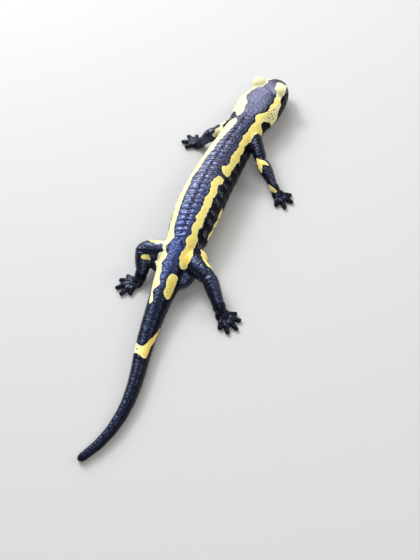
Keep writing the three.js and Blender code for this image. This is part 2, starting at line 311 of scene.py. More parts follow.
def smooth(skin, weights, rounds):
    """Smooths the skin in rounds, each point as far as its weight, 0 to 1, lets it."""
    group = skin.vertex_groups.new(name="smooth")
    levels = np.round(weights * WEIGHT_STEPS).astype(int)
    for level in range(1, WEIGHT_STEPS + 1):
        group.add(np.flatnonzero(levels == level).tolist(), level / WEIGHT_STEPS, "REPLACE")
    apply_modifier(skin, "SMOOTH", factor=0.5, iterations=rounds, vertex_group=group.name)
    skin.vertex_groups.clear()


def even_out(skin):
    """Rounds the facets away: fully on the trunk, less where the form is small."""
    points = read_points(skin)
    owner = nearest_nodes(points)
    paws = on_nodes(owner, PAWS)
    place = Place(points)
    weights = table(place.at, [(0, 0.35), (8, 0.45), (30, 0.8), (40, 1.0), (104, 1.0), (128, 0.6),
                               (160, 0.3), (180, 0.05)])
    weights[~on_nodes(owner, BODY_NODES)] = 0.35
    weights[paws] = 0.10
    for middle in THIGH_ROOT:
        weights = np.maximum(weights, 1 - rise(np.linalg.norm(points - middle, axis=1), 3.0, 6.0))
    near_eye = np.minimum(*[np.linalg.norm(points - centre, axis=1) for centre in eye_centres()])
    weights *= rise(near_eye, 1.5, 4.5) * 0.9 + 0.1
    rounds = (TUNED_VOXEL / VOXEL) ** 2
    smooth(skin, np.where(paws, 0.45, 1.0), max(2, int(7 * rounds)))
    smooth(skin, weights, max(3, int(46 * rounds)))
    # Back to the solids' surface. The digits gain what smoothing took, and the tail's end isn't sunk.
    sunk = np.where(paws, -0.10, GROW) * (1 - rise(place.at, 150, 176))
    write_points(skin, read_points(skin) - read_normals(skin) * sunk[:, None])


# How far from the snout the skin's faces are divided.
FINE_HEAD = 14.0


def refine_head(skin):
    """Divides the faces on the front of the head in four, for the lids, lips and nostrils."""
    only(skin)
    middles = np.empty(len(skin.data.polygons) * 3)
    skin.data.polygons.foreach_get("center", middles)
    place = Place(middles.reshape(-1, 3) / MM)
    bpy.ops.object.mode_set(mode="EDIT")
    bpy.ops.mesh.select_all(action="DESELECT")
    bpy.ops.object.mode_set(mode="OBJECT")
    skin.data.polygons.foreach_set("select", (place.at < FINE_HEAD).tolist())
    bpy.ops.object.mode_set(mode="EDIT")
    bpy.ops.mesh.select_mode(type="FACE")
    bpy.ops.mesh.subdivide(number_cuts=1, smoothness=0)
    bpy.ops.mesh.select_all(action="SELECT")
    bpy.ops.mesh.quads_convert_to_tris()
    bpy.ops.object.mode_set(mode="OBJECT")


# ---------------- relief

RIB_SPACING, RIB_START = 4.5, 37.3
# The ridges across the back run slightly backwards to the left. The pits between them lie on a line just
# right of the middle.
RIDGE_SPACING, RIDGE_START, RIDGE_SLANT = 2.32, 38.4, -0.25
PIT_LINE = -0.3
# The glands of the flank: how far over the skin they lie from the middle of the back, and how their
# height compares with their length.
KNOT_OVER, KNOT_SHAPE = 8.9, 0.75
TAIL_RING_SPACING, TAIL_RING_START = 2.8, 108
LIMB_RING_SPACING = 1.5
RINGS_ON_ARM, RINGS_ON_LEG = 0.9, 0.4


def rib_grooves(place):
    """Shallow grooves down the flanks between the ribs."""
    groove = -0.24 * hill(from_nearest(place.at - RIB_START - RIB_SPACING / 2, RIB_SPACING), 0.8)
    side = rise(place.flank, 48, 66) * (1 - rise(place.flank, 120, 146))
    return groove * between(place.at, 40, 96, 4) * side


def back_ridges(place):
    """Low ridges across the back, with a pit between each two at its middle."""
    slanted = place.at + RIDGE_SLANT * place.over - RIDGE_START
    crest = (0.5 + 0.5 * np.cos(2 * math.pi * slanted / RIDGE_SPACING)) ** 2
    ridge = 0.08 * crest - 0.07 * (1 - crest) * hill(place.over - PIT_LINE, 0.8)
    return ridge * between(place.at, 32, 90, 6) * between(place.over, -2.2, 3.1, 1.2)


def flank_knots(place):
    """A low swelling under each knot of glands on the flank."""
    along = from_nearest(place.at - RIB_START, RIB_SPACING)
    away = np.hypot(along, KNOT_SHAPE * (np.abs(place.over) - KNOT_OVER))
    return 0.08 * hill(away, 0.8) * between(place.at, 48, 94, 4) * between(place.flank, 44, 76, 8)


def throat_fold(place):
    """The fold across the throat and the crease behind each gland pad."""
    fold = hill(place.at - 29.0 - 0.012 * (place.flank - 120), 0.65) * rise(place.flank, 62, 100)
    crease = hill(place.at - 26.3, 0.6) * between(place.flank, 60, 115, 14)
    return -0.42 * fold - 0.12 * crease


MOUTH_LEVEL, MOUTH_SLOPE, MOUTH_DIP = 5.3, 0.03, 0.5


def mouth_line(place, points):
    """The closed mouth, from the front of the snout to its corner below the back of the eye."""
    dip = MOUTH_DIP * rise(place.at, 9, 14) * (1 - rise(place.at, 14, 17))
    line = points[:, 2] - MOUTH_LEVEL - MOUTH_SLOPE * place.at + dip
    reach = (1 - rise(place.at, 13.2, 15.0)) * (place.flank > 60)
    lips = 0.10 * hill(line - 0.6, 0.4) + 0.05 * hill(line + 0.6, 0.4)
    return reach * (lips - 0.34 * hill(line, 0.26))


def granules(points, place):
    """The fine unevenness of moist, glandular skin."""
    fine = 0.050 * lumps(points, 0.8, 3) + 0.018 * lumps(points, 1.7, 5)
    return fine * (1 - 0.6 * rise(place.flank, 110, 150))


def limb_runs(points, owner):
    """How far each point on a limb is from the limb's bend, how far the limb's rings show there, and the
    folds on both sides of the bend."""
    run, shown, fold = np.zeros(len(points)), np.zeros(len(points)), np.zeros(len(points))
    for limb in LIMBS:
        side, kind = limb.split("_")
        names = ["upper_arm", "forearm"] if kind == "arm" else ["thigh", "shank"]
        here = on_nodes(owner, [f"{side}_{name}" for name in names])
        along, bend = along_limb(points[here], limb)
        run[here] = along - bend
        strength = RINGS_ON_ARM if kind == "arm" else RINGS_ON_LEG
        shown[here] = strength * between(along, 4.5, bend + 7.5, 2)
        fold[here] = hill(np.abs(along - bend) - 1.0, 0.5)
    return run, shown, fold


def gland_pad(place):
    """How fully each point lies on one of the gland pads behind the eyes, where the pores open."""
    return 1 - rise(np.hypot((place.at - 22.3) / 4.4, (place.flank - 82) / 27), 0.6, 1.2)


def eye_centres():
    """The middle of each eye, left then right."""
    return [eye_axes(side)[0] for side in (1, -1)]


def eye_axes(side):
    """An eye's middle, the way it looks, the level way across it and the way up it."""
    line, along, distance = SPINE
    middle = np.array([np.interp(EYE_AT, distance, line[:, k]) for k in range(2)])
    way = along[int(np.searchsorted(distance, EYE_AT))]
    outward = side * np.array([way[1], -way[0]])
    centre = np.array([*(middle + outward * EYE_OUT), EYE_UP])
    looking = np.array([*(outward - 0.32 * way), 0.16])
    looking /= np.linalg.norm(looking)
    across = np.cross([0, 0, 1.0], looking)
    across /= np.linalg.norm(across)
    return centre, looking, across, np.cross(looking, across)


# The opening between the lids, in degrees out from its middle, and how round its outline is.
LID_LONG, LID_HIGH, LID_ROUNDNESS = 54.0, 37.0, 1.7
# From the eye's middle: the lids' rims, the skin behind the eyeball's front, the last point that moves, and
# where a turn is counted as a distance over the lid.
LID_RADIUS, LID_BEHIND, LID_REACH, LID_MIDDLE = 2.9, 1.95, 4.5, 2.65


def shape_lids(points):
    """Draws the skin round each eye into a pair of lids with an almond opening over the eyeball."""
    shaped = points.copy()
    for side in (1, -1):
        centre, looking, across, upward = eye_axes(side)
        away = points - centre
        radius = np.linalg.norm(away, axis=1)
        near = (radius < LID_REACH) & (away @ looking > -0.6)
        spot, reach = away[near], radius[near]
        front = np.maximum(spot @ looking, 0.02)
        sideways = np.degrees(np.arctan2(spot @ across, front))
        up = np.degrees(np.arctan2(spot @ upward, front))
        filled = np.abs(sideways / LID_LONG) ** LID_ROUNDNESS + np.abs(up / LID_HIGH) ** LID_ROUNDNESS
        inward = (1 - filled ** (1 / LID_ROUNDNESS)) * LID_HIGH * math.radians(LID_MIDDLE)
        rim = LID_RADIUS + 0.10 * hill(inward + 0.32, 0.22) - 0.10 * hill(inward + 0.85, 0.25)
        lid = np.where(inward < 0, rim, LID_BEHIND + (rim - LID_BEHIND) * (1 - rise(inward, 0.0, 0.24)))
        wanted = reach + (lid - reach) * rise(inward, -1.9, -0.7)
        shaped[near] = centre + spot * (wanted / reach)[:, None]
    return shaped


NOSTRIL_OUT, NOSTRIL_UP = 2.7, 7.6
# Marks a point as far from every nostril.
FAR = 9.0


def open_nostrils(points, place):
    """Two small pits on the front of the snout, each with a faint rim."""
    depth = np.zeros(len(points))
    for side in (-1, 1):
        away = np.sqrt((place.left - side * NOSTRIL_OUT) ** 2 + (points[:, 2] - NOSTRIL_UP) ** 2)
        away = np.where(place.at < 4.0, away, FAR)
        depth += -0.5 * hill(away, 0.34) + 0.07 * hill(away - 0.62, 0.2)
    return depth


def blend_brows(skin):
    """Eases the hollow round the foot of each eye's swelling, but leaves the lids as they are."""
    points = read_points(skin)
    weights = np.zeros(len(points))
    for side in (1, -1):
        centre, looking, _, _ = eye_axes(side)
        away = points - centre
        foot = between(np.linalg.norm(away, axis=1), 3.0, 4.3, 0.9) * rise(-(away @ looking), -0.6, 0.8)
        weights = np.maximum(weights, foot)
    smooth(skin, weights, 30)


def add_relief(skin):
    """Moves the skin's points in and out, and returns the node that each lies on."""
    points = read_points(skin)
    owner = nearest_nodes(points)
    body = on_nodes(owner, BODY_NODES)
    place = Place(points)
    run, shown, fold = limb_runs(points, owner)
    height = granules(points, place) - 0.12 * fold
    height -= 0.05 * shown * hill(from_nearest(run, LIMB_RING_SPACING), 0.4)
    height += body * (rib_grooves(place) + back_ridges(place) + flank_knots(place) + throat_fold(place))
    height += body * (mouth_line(place, points) + open_nostrils(points, place))
    height *= np.where(on_nodes(owner, PAWS), 0.6, 1.0)
    # What rests on the floor stays flat.
    height *= rise(points[:, 2], 0.15, 1.2)
    points += read_normals(skin) * height[:, None]
    points = shape_lids(points)
    points[:, 2] = np.maximum(points[:, 2], 0.0)
    write_points(skin, points)
    return owner


# ---------------- markings

# Outlines of the yellow patches: (distance from the snout, degrees round from the middle of the back).
RIGHT_STRIPE_FRONT = [
    (12, -62), (13.5, -67), (14.5, -73), (17.7, -77), (19.3, -90), (21, -96), (23.4, -104), (24.2, -87),
    (25.8, -73), (27.7, -65), (29.6, -68), (30.3, -90), (31.2, -106), (33, -92), (34.5, -74), (35.4, -62),
    (37.2, -62), (39.4, -65), (42.8, -58), (45.3, -62), (48.1, -60), (50.3, -65), (53.5, -61), (56.8, -59),
    (59, -61), (60.7, -53), (60.5, -42), (59.3, -31), (57.5, -30), (56.1, -39), (53.9, -40), (51.4, -36),
    (49, -38), (46, -41), (43.3, -36), (41.7, -39), (39.3, -35), (36.3, -41), (33.5, -39), (31.3, -42),
    (29.7, -45), (27.7, -37), (25.8, -37), (23.9, -48), (22.2, -54), (18.7, -51), (16.3, -52), (14.1, -48),
    (12, -50),
]
RIGHT_STRIPE_REAR = [
    (62.5, -39), (63.2, -50), (64.9, -50), (67.1, -42), (70.2, -48), (73.2, -45), (75.9, -48), (78.9, -46),
    (80.8, -48), (83.3, -47), (85.2, -52), (87.6, -45), (89.1, -49), (91.4, -59), (95, -58), (96.9, -67),
    (98.7, -72), (100.9, -69), (102.4, -62), (103.0, -53), (102.0, -41), (100.5, -32), (98.9, -28),
    (97.2, -27), (95.2, -32), (93, -25), (91.6, -22), (90.1, -31), (88.8, -28), (86.7, -22), (84.9, -27),
    (82.8, -23), (80.5, -28), (77.2, -28), (74.1, -25), (71.9, -30), (69, -27), (66.7, -23), (63.9, -28),
    (62.9, -31),
]
RIGHT_OVAL = [
    (106.1, -32), (106.0, -50), (107.0, -64), (109.5, -66), (112.8, -73), (115, -66), (115.6, -51),
    (114.8, -34), (113.4, -25), (111.8, -27), (110.4, -22), (108.5, -19), (107, -23),
]
RIGHT_BROW = [
    (4.9, -15), (3.7, -22), (3.4, -46), (5.6, -52), (7.8, -52), (9, -57), (10.4, -61), (12.4, -63),
    (13.4, -57), (12.8, -50), (11.7, -46), (10.1, -34), (8.6, -27), (6.5, -20),
]
LEFT_HEAD = [
    (4.8, 46), (6.0, 31), (7.6, 26), (9.4, 25), (10.6, 31), (11.5, 43), (13, 48), (16.9, 47), (18.8, 44),
    (21.1, 28), (23.3, 27), (26.6, 20), (29.3, 30), (27.6, 42), (26.4, 54), (26.6, 72), (24.5, 95),
    (21, 100), (18, 92), (14, 80), (11.5, 73), (9.5, 66), (8, 63), (6, 61), (4.6, 57),
]
LEFT_STRIPE = [
    (30.5, 33), (31.5, 24), (33, 17), (37, 16), (40.5, 18), (44, 21), (47.5, 24), (50.3, 22), (54, 26),
    (58.9, 27), (62.5, 27), (65.8, 34), (69.2, 30), (73, 31), (79, 31), (85.5, 30), (89.2, 29), (91.5, 22),
    (93.6, 19), (96.4, 35), (98.5, 29), (100.6, 18), (102.2, 28), (103.6, 30), (106, 19), (108.8, 18),
    (111.1, 5), (112.8, 18), (114, 28), (115.9, 21), (118, 11), (119.2, 24), (118, 37), (114.5, 44),
    (111.5, 55), (108.6, 60), (104.4, 67), (102.2, 68), (100.6, 62), (99.3, 54), (98.3, 47), (96.5, 51),
    (93, 58), (87.5, 56), (81.5, 58), (75, 66), (71, 60), (66, 64), (61, 58), (55, 61), (51.5, 56),
    (46, 60), (42.5, 55), (37.5, 58), (32.5, 52),
]
TAIL_RING = [
    (125.6, -100), (128.9, -72), (130.7, -57), (131.8, -44), (133.3, -34), (135, -18), (135.4, 0),
    (134.8, 23), (133.9, 50), (134, 70), (135.5, 84), (137, 78), (137.6, 58), (138, 23), (138.7, 1),
    (139.3, -20), (139.5, -37), (138.8, -53), (136, -60), (134.7, -60), (133.5, -70), (131.1, -87),
    (128.3, -98),
]
RIGHT_FLANK = [
    [(71.4, -96), (73, -90), (74.4, -90), (76, -97), (75.5, -112), (72.5, -110)],
    [(76.4, -98), (78.5, -94), (80.9, -93), (80.6, -106), (77.5, -113)],
    [(81.3, -97), (83.4, -95), (85.2, -92), (86.6, -98), (85.5, -112), (82.5, -112)],
]
LEFT_FLANK = [
    [(44, 96), (46.5, 90), (50, 92), (51.5, 100), (49, 110), (45, 107)],
    [(66, 100), (68.5, 92), (72, 94), (74, 102), (72, 112), (67, 110)],
    [(84, 96), (86.5, 92), (89.5, 96), (89, 106), (85, 107)],
]
BELLY = [
    [(33, 168), (36, 172), (35, 184), (32, 180)],
    [(52, 150), (56, 154), (55, 166), (51, 162)],
    [(68, 198), (72, 202), (70, 214), (67, 208)],
    [(90, 172), (94, 178), (92, 190), (89, 182)],
]
THROAT = [
    [(10, 152), (13, 144), (16, 150), (17, 163), (14, 170), (10, 166)],
    [(20, 194), (22.5, 186), (25.5, 191), (26, 204), (23, 210), (20, 204)],
]
PATCHES = [RIGHT_STRIPE_FRONT, RIGHT_STRIPE_REAR, RIGHT_OVAL, RIGHT_BROW, LEFT_HEAD, LEFT_STRIPE]
PATCHES += [TAIL_RING] + RIGHT_FLANK + LEFT_FLANK + BELLY + THROAT

# Streaks and spots on the limbs and the snout, as points in the frame, each with a radius.
STREAKS = [
    [(-12.6, -19.2, 8.9, 1.1), (-14.3, -18.0, 9.6, 1.4), (-15.3, -16.0, 8.4, 0.9),
     (-16.3, -15.0, 7.7, 0.4)],
    [(-14.3, -18.2, 9.6, 1.4), (-16.6, -18.3, 9.8, 0.8), (-17.8, -18.1, 9.2, 0.35)],
    [(7.6, -33.0, 10.7, 0.9), (8.0, -31.8, 10.8, 0.9)],
    [(7.4, -29.6, 10.5, 1.1), (8.1, -28.3, 9.9, 1.3), (9.1, -27.2, 8.7, 1.0)],
    [(-10.5, 26.3, 8.0, 1.1), (-11.8, 28.3, 8.8, 1.3), (-12.6, 29.8, 8.8, 1.35), (-14.4, 31.6, 9.8, 1.25),
     (-15.9, 32.6, 9.8, 0.9), (-17.4, 33.1, 8.6, 0.5), (-18.9, 34.4, 7.8, 0.25)],
    [(9.0, 37.0, 9.1, 0.9), (8.1, 35.9, 8.7, 1.0), (7.4, 35.6, 7.1, 0.7)],
    [(3.8, 29.4, 11.2, 1.1), (6.3, 30.2, 11.5, 1.35), (8.2, 30.2, 11.3, 1.1), (10.2, 30.0, 10.6, 0.45)],
    [(-20.2, -12.3, 4.0, 0.9), (-21.9, -11.5, 3.6, 0.9), (-23.0, -11.4, 3.1, 0.7)],
    [(-11.4, 26.6, 7.2, 1.3), (-13.0, 28.0, 6.6, 1.7), (-14.6, 30.0, 7.4, 1.6), (-16.4, 32.2, 7.9, 0.8)],
    [(1.8, -58.2, 12.2, 1.3), (1.0, -60.4, 10.6, 1.0), (0.1, -62.0, 9.6, 0.7), (-1.7, -62.6, 9.5, 0.45)],
]
# Dark spots within the yellow.
DARK_SPOTS = [(-5.1, 70.8, 6.1, 0.45), (-5.8, 47.2, 8.0, 0.2), (-6.0, 45.4, 8.1, 0.2)]


# The depth of a point that is far outside every patch.
OUTSIDE = -9.0


def rounded(outline, steps=5):
    """A smooth closed curve through an outline's points."""
    corner = np.array(outline, float)
    curve = []
    for i in range(len(corner)):
        p0, p1, p2, p3 = (corner[(i + k) % len(corner)] for k in (-1, 0, 1, 2))
        t = np.linspace(0, 1, steps, endpoint=False)[:, None]
        curve.append(0.5 * (2 * p1 + (p2 - p0) * t + (2 * p0 - 5 * p1 + 4 * p2 - p3) * t ** 2
                            + (3 * p1 - p0 - 3 * p2 + p3) * t ** 3))
    return np.vstack(curve)


def depth_in(outline, spots):
    """How far each spot lies inside a closed outline, negative outside."""
    start, step = outline, np.roll(outline, -1, axis=0) - outline
    away = spots[:, None] - start
    share = np.clip((away * step).sum(2) / (step * step).sum(1), 0, 1)
    gap = np.sqrt(((away - share[..., None] * step) ** 2).sum(2)).min(1)
    spans = (start[:, 1] > spots[:, 1:2]) != ((start + step)[:, 1] > spots[:, 1:2])
    upward = np.where(step[:, 1] == 0, 1e-9, step[:, 1])
    edge = start[:, 0] + (spots[:, 1:2] - start[:, 1]) * step[:, 0] / upward
    crosses = spans & (spots[:, 0:1] < edge)
    return np.where(crosses.sum(1) % 2 == 1, gap, -gap)


def depth_in_streak(points, streak):
    """How far each point lies inside a streak of round spots that run into each other."""
    best = np.full(len(points), OUTSIDE)
    for start, end in zip(streak, streak[1:]):
        start, end = np.array(start), np.array(end)
        run = end[:3] - start[:3]
        share = np.clip((points - start[:3]) @ run / (run @ run), 0, 1)
        gap = np.linalg.norm(points - start[:3] - share[:, None] * run, axis=1)
        best = np.maximum(best, start[3] + (end[3] - start[3]) * share - gap)
    return best


def patch_depth(place, turn):
    """How far each point lies inside the nearest of the body's patches."""
    depth = np.full(len(place.at), OUTSIDE)
    for outline in PATCHES:
        loop = rounded(outline)
        loop[:, 1] = np.radians(loop[:, 1]) * table(loop[:, 0], HALF_WIDTH)
        for shift in (0, 360, -360):
            spots = np.column_stack([place.at, np.radians(turn + shift) * place.half])
            near = (spots[:, 0] > loop[:, 0].min() - 2) & (spots[:, 0] < loop[:, 0].max() + 2)
            near &= (spots[:, 1] > loop[:, 1].min() - 2) & (spots[:, 1] < loop[:, 1].max() + 2)
            if near.any():
                depth[near] = np.maximum(depth[near], depth_in(loop, spots[near]))
    return depth


def write_attribute(skin, name, values):
    attribute = skin.data.attributes.new(name, "FLOAT", "POINT")
    attribute.data.foreach_set("value", values.astype(np.float32))


def spread(skin, values, share, rounds):
    """Evens values out between neighbouring points, as far as each point's share, 0 to 1, lets it."""
    ends = np.empty(len(skin.data.edges) * 2, np.int32)
    skin.data.edges.foreach_get("vertices", ends)
    first, second = ends.reshape(-1, 2).T
    size = len(values)
    count = np.maximum(np.bincount(ends, minlength=size), 1)
    for _ in range(rounds):
        around = np.bincount(first, values[second], size) + np.bincount(second, values[first], size)
        values = values + (around / count - values) * share
    return values


class SkinMarks:
    """Stores on the skin how deep each point lies in a yellow patch, and where colour and finish change."""

    def __init__(self, skin, owner):
        self.skin, self.owner = skin, owner
        self.points = read_points(skin)
        self.place = Place(self.points)
        self.limbs = ~on_nodes(owner, BODY_NODES)
        self.arms = on_nodes(owner, UPPER_ARMS)
        limb_share = spread(skin, self.limbs.astype(float), 1.0, 6)
        self.seam = np.clip(6 * limb_share * (1 - limb_share), 0, 1)
        # On the shoulders and hips the patches keep the place they have when seen from straight above.
        self.turn = np.where(self.limbs, 60 * self.place.left / self.place.half, self.place.turn)
        self.depth = self.find_depth()

    def write(self, name, values):
        """Stores values, evened out where the limbs join the body."""
        write_attribute(self.skin, name, spread(self.skin, values.astype(float), self.seam, 12))

    def find_depth(self):
        place, turn = self.place, self.turn
        depth = patch_depth(place, turn)
        reach = np.where(self.arms, np.where(turn > 0, 48, 57), 80) - np.abs(turn)
        cover = np.minimum(reach * place.half / 60, np.minimum(104.5 - place.at, place.up + 0.9))
        depth = np.where(self.limbs, np.minimum(depth, cover), depth)
        depth = spread(self.skin, np.clip(depth, -2, 2.5), self.seam, 16)
        for streak in STREAKS:
            depth = np.maximum(depth, depth_in_streak(self.points, streak))
        for x, y, z, radius in DARK_SPOTS:
            depth = np.minimum(depth, np.linalg.norm(self.points - [x, y, z], axis=1) - radius)
        return depth

    def mark_patches(self):
        """The patches, with an uneven edge, where they are orange, and where they are painted paler as if
        brightly lit.
        """
        points, place, turn, limbs, depth = self.points, self.place, self.turn, self.limbs, self.depth
        ripple = 0.17 * lumps(points, 1.2, 21) + 0.08 * lumps(points, 0.6, 22)
        scallop = np.cos(2 * math.pi * place.at / RIDGE_SPACING) * between(place.at, 36, 104, 4)
        write_attribute(self.skin, "marking", depth + ripple + 0.13 * scallop)
        right = rise(-turn, 5, 20) * np.where(limbs, 1 - rise(-turn, 66, 80), 1)
        orange = right * hill(place.at - 98, 4.5) * rise(depth, 0.1, 1.6)
        orange = np.maximum(orange, right * hill(place.at - 112.5, 3.6) * rise(depth, 0.2, 1.2) * 0.8)
        ring = 0.55 * between(place.at, 125, 139, 2) * rise(-turn, 12, 50)
        orange = np.maximum(orange, ring * ~limbs)
        mottle = 0.36 * rise(lumps(points, 1.4, 33), 0.0, 0.8) * rise(depth, 0.2, 0.9)
        self.write("warmth", np.clip(orange + mottle, 0, 1))
        # Painted light: the patches are paler, as if brightly lit, on the left side, on the brows and near
        # their edges; the right cheek is paler too.
        left = rise(turn, 0, 14) * np.where(limbs, 1 - rise(turn, 70, 90), 1)
        brow = between(place.at, 2, 12.5, 1) * (place.flank < 70)
        cheek = 0.7 * between(place.at, 16, 27, 3) * rise(-turn, 50, 70)
        edge = 0.35 * (1 - rise(depth, 0.1, 0.6))
        lit_pale = np.maximum(np.maximum(left, edge), np.maximum(brow, cheek) * ~limbs)
        self.write("lit_pale", np.clip(lit_pale, 0, 1))

    def mark_finish(self):
        """Where the skin carries painted blue and violet sheen, how glossy it is and how coarse its grain.
        """
        place, limbs = self.place, self.limbs
        # Painted sheen: the back's share of the blue base colour, which stands in for sky reflected on the
        # wet skin.
        back = (1 - rise(place.flank, 18, 48)) * (1 - 0.95 * rise(place.at, 102, 118))
        back *= rise(place.at, 0.5, 6)
        self.write("back", np.where(limbs, 0.08 * rise(place.up, -2, 3), back))
        gloss = 1 - (0.96 - 0.3 * rise(place.at, 106, 116)) * rise(place.flank, 28, 62)
        gloss *= 1 - 0.55 * rise(place.at, 106, 120)
        lower = np.maximum(rise(place.turn, 66, 84), rise(place.flank, 100, 120))
        gloss = np.maximum(gloss, 0.34 * lower)
        gloss += (0.5 - gloss) * (1 - rise(place.at, 1, 6))
        dull = self.arms | on_nodes(self.owner, PAWS)
        self.write("gloss", np.where(limbs, np.where(dull, 0.3, 0.9), gloss))
        self.write("rear", np.where(limbs, 0.7, rise(place.at, 58, 92)))
        # The crown carries a painted violet sheen, which stands in for sky reflected on wet skin, and a
        # finer grain.
        crown = rise(place.at, 2.5, 7.5) * (1 - rise(place.at, 16, 21)) * ~limbs
        crown *= 1 - rise(place.flank, 38, 62)
        # Painted shade: the crown's right rear corner, a hollow turned away from the light, loses the
        # painted violet sheen and is left dark.
        corner = rise(place.at - 0.30 * (self.turn + 8), 13.5, 15.5) * rise(-self.turn, 4, 12)
        crown *= 1 - 0.85 * corner
        write_attribute(self.skin, "crown", crown)
        grain = (1 - 0.65 * rise(place.flank, 45, 70)) * (1 - 0.25 * rise(place.at, 110, 125))
        grain *= 0.35 + 0.65 * rise(place.at, 19, 33)
        grain *= (1 - 0.5 * crown) * (1 - 0.4 * rise(place.at, 86, 96))
        self.write("grain", np.where(limbs, 0.4, grain))
        write_attribute(self.skin, "belly", rise(place.flank, 118, 150) * ~limbs)

    def mark_relief(self):
        """Where the ridges, glands, pores and rings lie."""
        place, limbs = self.place, self.limbs
        run, shown, _ = limb_runs(self.points, self.owner)
        tail_run = np.maximum(place.at - TAIL_RING_START, 0)
        ridged = between(place.at, 32, 86, 8) * between(place.over, -1.7, 2.6, 1.3)
        knotted = between(place.at, 48, 94, 4) * between(place.flank, 44, 76, 8)
        for name, values in {
            "along": place.at,
            "across": place.over,
            "gland": gland_pad(place) * ~limbs,
            "ridged": ridged * ~limbs,
            "knotted": knotted * ~limbs,
            "ring_at": np.where(limbs, run / LIMB_RING_SPACING, tail_run / TAIL_RING_SPACING),
            "ringed": np.where(limbs, shown, 0.5 * between(place.at, 113, 172, 4)),
        }.items():
            write_attribute(self.skin, name, values)


# ---------------- materials

class Wiring:
    """Adds nodes to a material and links them."""

    def __init__(self, name):
        self.material = bpy.data.materials.new(name)
        self.material.use_nodes = True
        self.tree = self.material.node_tree
        self.tree.nodes.clear()
        self.shader = self.add("ShaderNodeBsdfPrincipled")
        self.add("ShaderNodeOutputMaterial", {"Surface": self.shader.outputs[0]})

    def add(self, kind, inputs=None, **settings):
        node = self.tree.nodes.new(kind)
        for name, value in settings.items():
            setattr(node, name, value)
        self.fill(node, inputs or {})
        return node

    def fill(self, node, inputs):
        """Gives each named input a number, a colour or another node's output."""
        for name, value in inputs.items():
            if isinstance(value, (int, float)):
                node.inputs[name].default_value = value
            elif isinstance(value, tuple):
                node.inputs[name].default_value = (*value, 1)
            else:
                self.tree.links.new(value, node.inputs[name])

    def attribute(self, name):
        return self.add("ShaderNodeAttribute", attribute_name=name).outputs["Fac"]

    def spot(self):
        return self.add("ShaderNodeTexCoord").outputs["Object"]

    def noise(self, scale, detail=2.0):
        """Noise whose lumps are about 1/scale metres across."""
        inputs = {"Scale": scale, "Detail": detail, "Vector": self.spot()}
        return self.add("ShaderNodeTexNoise", inputs).outputs["Fac"]

    def beads(self, scale, unevenness, vector=None):
        """Round beads side by side, each about 1 at its middle and 0 at its edge."""
        away = self.add("ShaderNodeTexVoronoi", {
            "Scale": scale, "Smoothness": 0.35, "Randomness": unevenness, "Vector": vector or self.spot(),
        }, feature="SMOOTH_F1").outputs["Distance"]
        return self.math("SUBTRACT", 1.0, self.math("MULTIPLY", self.math("MULTIPLY", away, away), 2.2))

    def rows(self, x, y):
        """A vector of two values."""
        return self.add("ShaderNodeCombineXYZ", {"X": x, "Y": y}).outputs["Vector"]

    def math(self, operation, *values):
        return self.add("ShaderNodeMath", dict(enumerate(values)), operation=operation).outputs[0]

    def hill(self, value, width):
        """1 where a value is 0, falling away smoothly over the width on both sides."""
        scaled = self.math("DIVIDE", value, width)
        return self.math("EXPONENT", self.math("MULTIPLY", self.math("MULTIPLY", scaled, scaled), -1.0))

    def wave(self, value, spacing, sharpness):
        """Crests of height 1 at every whole spacing, narrower the sharper they are."""
        turned = self.math("COSINE", self.math("MULTIPLY", value, 2 * math.pi / spacing))
        return self.math("POWER", self.math("MULTIPLY_ADD", turned, 0.5, 0.5), sharpness)

    def span(self, value, low, high, to_low=0.0, to_high=1.0):
        """Maps a range to another, held at its ends."""
        return self.add("ShaderNodeMapRange", {
            "Value": value, "From Min": low, "From Max": high, "To Min": to_low, "To Max": to_high,
        }).outputs["Result"]

    def blend(self, share, first, second):
        """Mixes two colours, each a socket or an RGB triple."""
        inputs = {"Factor": share, 6: first, 7: second}
        return self.add("ShaderNodeMix", inputs, data_type="RGBA").outputs[2]

    def blend_value(self, share, first, second):
        """Mixes two values, each a socket or a number."""
        inputs = {"Factor": share, 2: first, 3: second}
        return self.add("ShaderNodeMix", inputs, data_type="FLOAT").outputs[0]

    def bump(self, height, strength, distance, **below):
        """The surface's direction with a height added, above another bump's if Normal is given."""
        inputs = {"Strength": strength, "Distance": distance, "Height": height, **below}
        return self.add("ShaderNodeBump", inputs).outputs["Normal"]


# Painted light among these colours: the blues and the crown's violet stand in for sky reflected on wet
# skin, the trough blue for shade in the pits, the knot grey for highlights on the glands' rims, and cream
# for yellow that is brightly lit.
BLACK = (0.0045, 0.0045, 0.0075)
TROUGH_SHADE_BLUE = (0.005, 0.006, 0.022)
BLUE_SHEEN_FRONT = (0.100, 0.105, 0.220)
BLUE_SHEEN_REAR = (0.064, 0.090, 0.330)
CROWN_SHEEN_VIOLET = (0.175, 0.158, 0.275)
BELLY_GREY = (0.022, 0.021, 0.026)
YELLOW = (1.0, 0.86, 0.24)
LIT_CREAM = (1.0, 0.95, 0.55)
ORANGE = (0.92, 0.52, 0.04)
PORE_BROWN = (0.06, 0.025, 0.008)
FRONT_SHEEN = (0.64, 0.69, 1.0)
REAR_SHEEN = (0.43, 0.55, 1.0)
KNOT_HIGHLIGHT_GREY = (0.16, 0.175, 0.25)
WHITE = (1.0, 1.0, 1.0)


